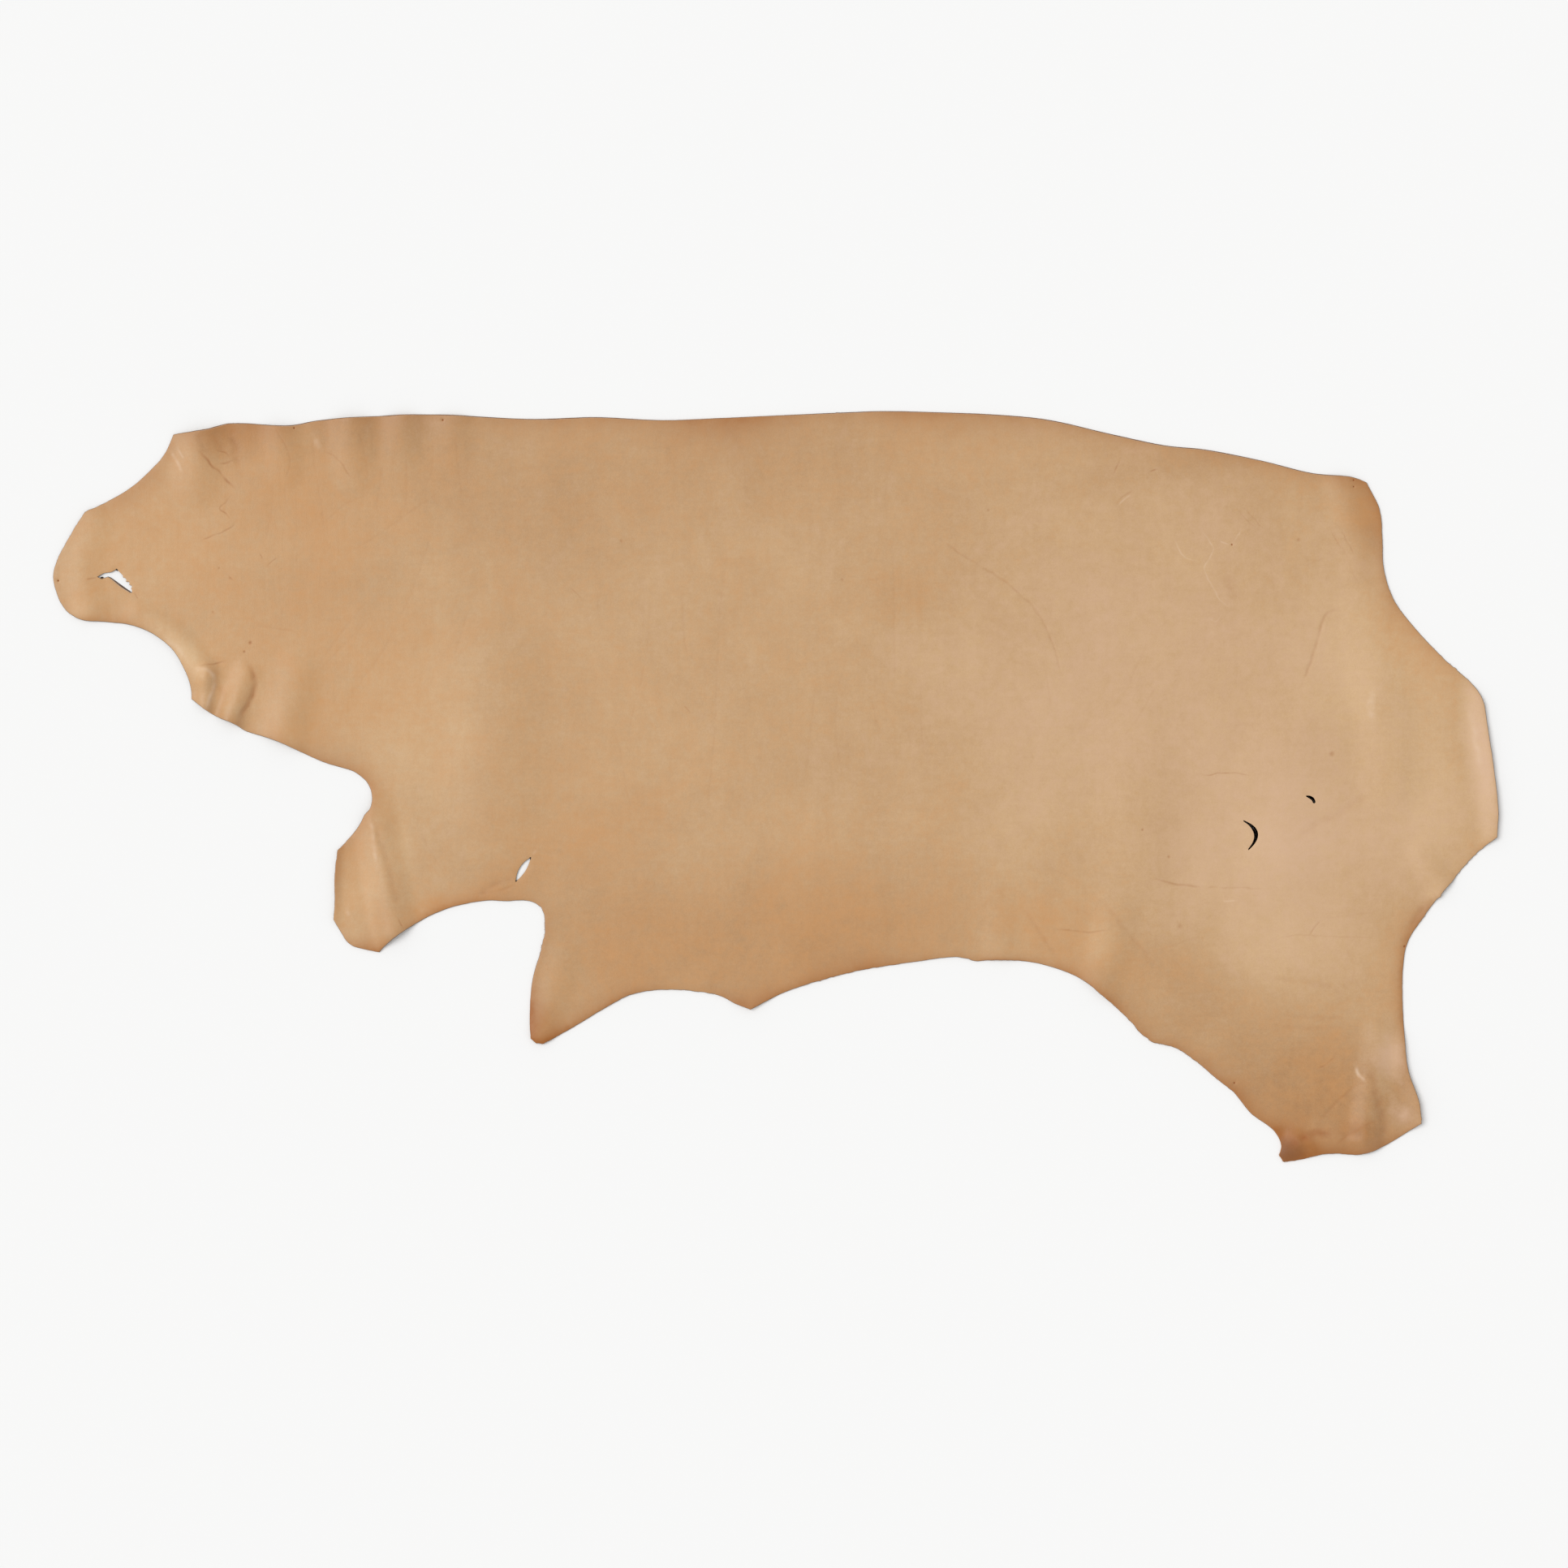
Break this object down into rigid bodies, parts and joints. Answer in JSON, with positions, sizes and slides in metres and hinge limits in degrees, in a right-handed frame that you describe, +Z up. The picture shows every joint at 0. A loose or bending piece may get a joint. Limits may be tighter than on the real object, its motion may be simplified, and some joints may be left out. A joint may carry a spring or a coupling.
{
  "type": "leather side",
  "caption": "Whole vegetable tanned leather side with natural edges, laid flat with its smooth grain side up and gently rippled along its rim.",
  "frame": {"origin": "on the surface that the side lies on, under the middle of its overall length and width", "axes": "+X runs from the muzzle to the buttock, +Y from the belly to the backbone cut, +Z up from the surface through the grain side"},
  "size_m": [2.403, 1.249, 0.0168],
  "materials": {
    "grain_leather": "undyed vegetable tanned grain, satin, pale tan"
  },
  "bodies": {
    "root": {"leather_side": "grain_leather"}
  },
  "joints": []
}
